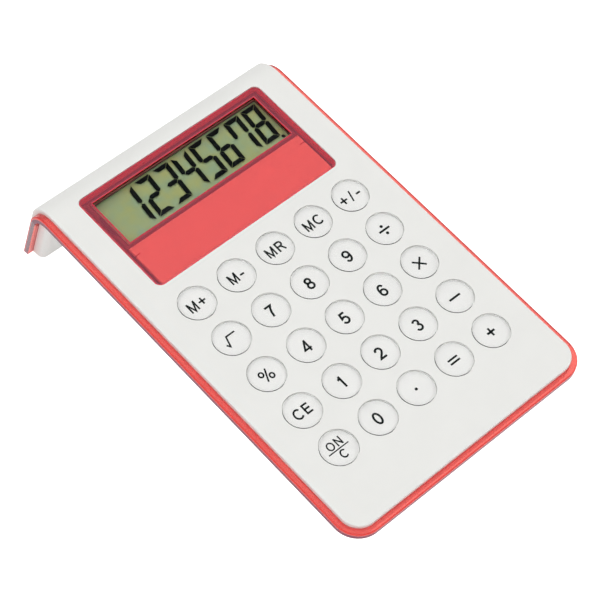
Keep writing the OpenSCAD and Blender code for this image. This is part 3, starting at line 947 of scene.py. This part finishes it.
for part in frame["record"]["subparts"]:
    dress(part["node"], part["material_slot"])


BEND_Y = 88.4  # where the plates start to bend
BEND_Z = -11.4  # the level of the bend's axis
LEG_ANGLE = math.radians(80)
PLATE_TOP = LENS_LOW.z
PLATE_T = 2.5


def plate_sheet(point):
    """Which way the tinted plate faces at a point, and how deep the point lies in it, from 0 to 1."""
    turned = 0
    if point.y > BEND_Y:
        turned = min(LEG_ANGLE, max(0, math.atan2(point.y - BEND_Y, point.z - BEND_Z)))
    way = Vector((0, math.sin(turned), math.cos(turned)))
    height = (point - Vector((0, BEND_Y, BEND_Z))).dot(way) + BEND_Z
    return way, (PLATE_TOP - height) / PLATE_T


def make_tinted_plate():
    """The CAD plate, a hair smaller all round, so that its surfaces stay apart from the shells'."""
    made = bmesh.new()
    made.from_mesh(frame["nodes"]["tinted_plate"].data)
    bmesh.ops.transform(made, matrix=FROM_PLATE, verts=made.verts)
    bmesh.ops.remove_doubles(made, verts=made.verts, dist=0.001)
    made.normal_update()
    moves = [v.normal * AIR for v in made.verts]
    for v, move in zip(made.verts, moves):
        v.co -= move
    mesh = finished(made)
    mark(mesh, plate_sheet)
    place("red_plate", mesh, "body", "tint_red", "tinted_plate")


make_tinted_plate()

# ---- Camera, floor and light ----

CAMERA_PLACE = (-0.2974, -0.3268, 0.5690)
CAMERA_AZIMUTH = -42.44
CAMERA_ELEVATION = 51.93
CAMERA_LENS = 128.63
# The light: a wide overhead lamp for dull surfaces, and a dim even sky for the glossy ones, with a dark
# card in it where the flat top would mirror the sky to the camera
LAMP = 2.42
LAMP_ANGLE = 100
LAMP_TILT = (8, -6, 0)
SKY = 0.34
CARD = 0.02
CARD_WAY = (0.416, 0.2115, 0.885)
CARD_EDGE = (0.90, 0.965)  # cosines of the angles between which the card fades into the sky
FLOOR_HALF = 20
FLOOR_DROP = 0.0002
FLOOR_GLOW = 0.45  # what the floor adds to the light beneath the object
FLOOR_THROUGH = 0.95  # how bright the floor is when seen through clear pieces


def make_camera():
    camera = bpy.data.objects.new("camera", bpy.data.cameras.new("camera"))
    camera.data.sensor_width = 36
    camera.data.lens = CAMERA_LENS
    camera.location = CAMERA_PLACE
    camera.rotation_euler = (
        math.radians(90 - CAMERA_ELEVATION), 0, math.radians(CAMERA_AZIMUTH)
    )
    bpy.context.scene.collection.objects.link(camera)
    bpy.context.scene.camera = camera


def make_floor():
    made = bmesh.new()
    bmesh.ops.create_grid(made, x_segments=4, y_segments=4, size=FLOOR_HALF)
    mesh = finished(made)
    floor = bpy.data.objects.new("floor", mesh)
    material, shader, add = new_material("floor_white")
    shader.inputs["Base Color"].default_value = (0.55, 0.55, 0.55, 1)
    shader.inputs["Roughness"].default_value = 0.9
    shader.inputs["Specular IOR Level"].default_value = 0.1
    shader.inputs["Emission Color"].default_value = (1, 1, 1, 1)
    path = add("ShaderNodeLightPath")
    seen = add("ShaderNodeMapRange", Value=path.outputs["Is Camera Ray"])
    seen.inputs["To Min"].default_value = FLOOR_GLOW
    seen.inputs["To Max"].default_value = 1.0
    through = add("ShaderNodeMapRange", Value=path.outputs["Is Transmission Ray"])
    through.inputs["To Max"].default_value = FLOOR_THROUGH
    feed(material, seen.outputs["Result"], through.inputs["To Min"])
    glow = through.outputs["Result"]
    feed(material, glow, shader.inputs["Emission Strength"])
    mesh.materials.append(material)
    floor.location = (0, 0, -FLOOR_DROP)
    bpy.context.scene.collection.objects.link(floor)


def make_light():
    world = bpy.data.worlds.new("studio")
    world.use_nodes = True
    tree = world.node_tree
    places = tree.nodes.new("ShaderNodeTexCoord")
    near = tree.nodes.new("ShaderNodeVectorMath")
    near.operation = "DOT_PRODUCT"
    near.inputs[1].default_value = CARD_WAY
    fade = tree.nodes.new("ShaderNodeMapRange")
    fade.interpolation_type = "SMOOTHSTEP"
    for key, value in zip(("From Min", "From Max", "To Min", "To Max"), (*CARD_EDGE, SKY, CARD)):
        fade.inputs[key].default_value = value
    tree.links.new(places.outputs["Generated"], near.inputs[0])
    tree.links.new(near.outputs["Value"], fade.inputs["Value"])
    tree.links.new(fade.outputs["Result"], tree.nodes["Background"].inputs["Strength"])
    tree.nodes["Background"].inputs["Color"].default_value = (1, 1, 1, 1)
    bpy.context.scene.world = world
    bpy.context.scene.view_settings.view_transform = "Standard"


def make_lamp():
    lamp = bpy.data.lights.new("lamp", "SUN")
    lamp.energy = LAMP
    lamp.angle = math.radians(LAMP_ANGLE)
    lamp.cycles.use_multiple_importance_sampling = False  # so that clear pieces let all of it through
    holder = bpy.data.objects.new("lamp", lamp)
    holder.rotation_euler = [math.radians(turn) for turn in LAMP_TILT]
    holder.visible_glossy = False
    holder.visible_transmission = False
    bpy.context.scene.collection.objects.link(holder)


make_camera()
make_floor()
make_light()
make_lamp()
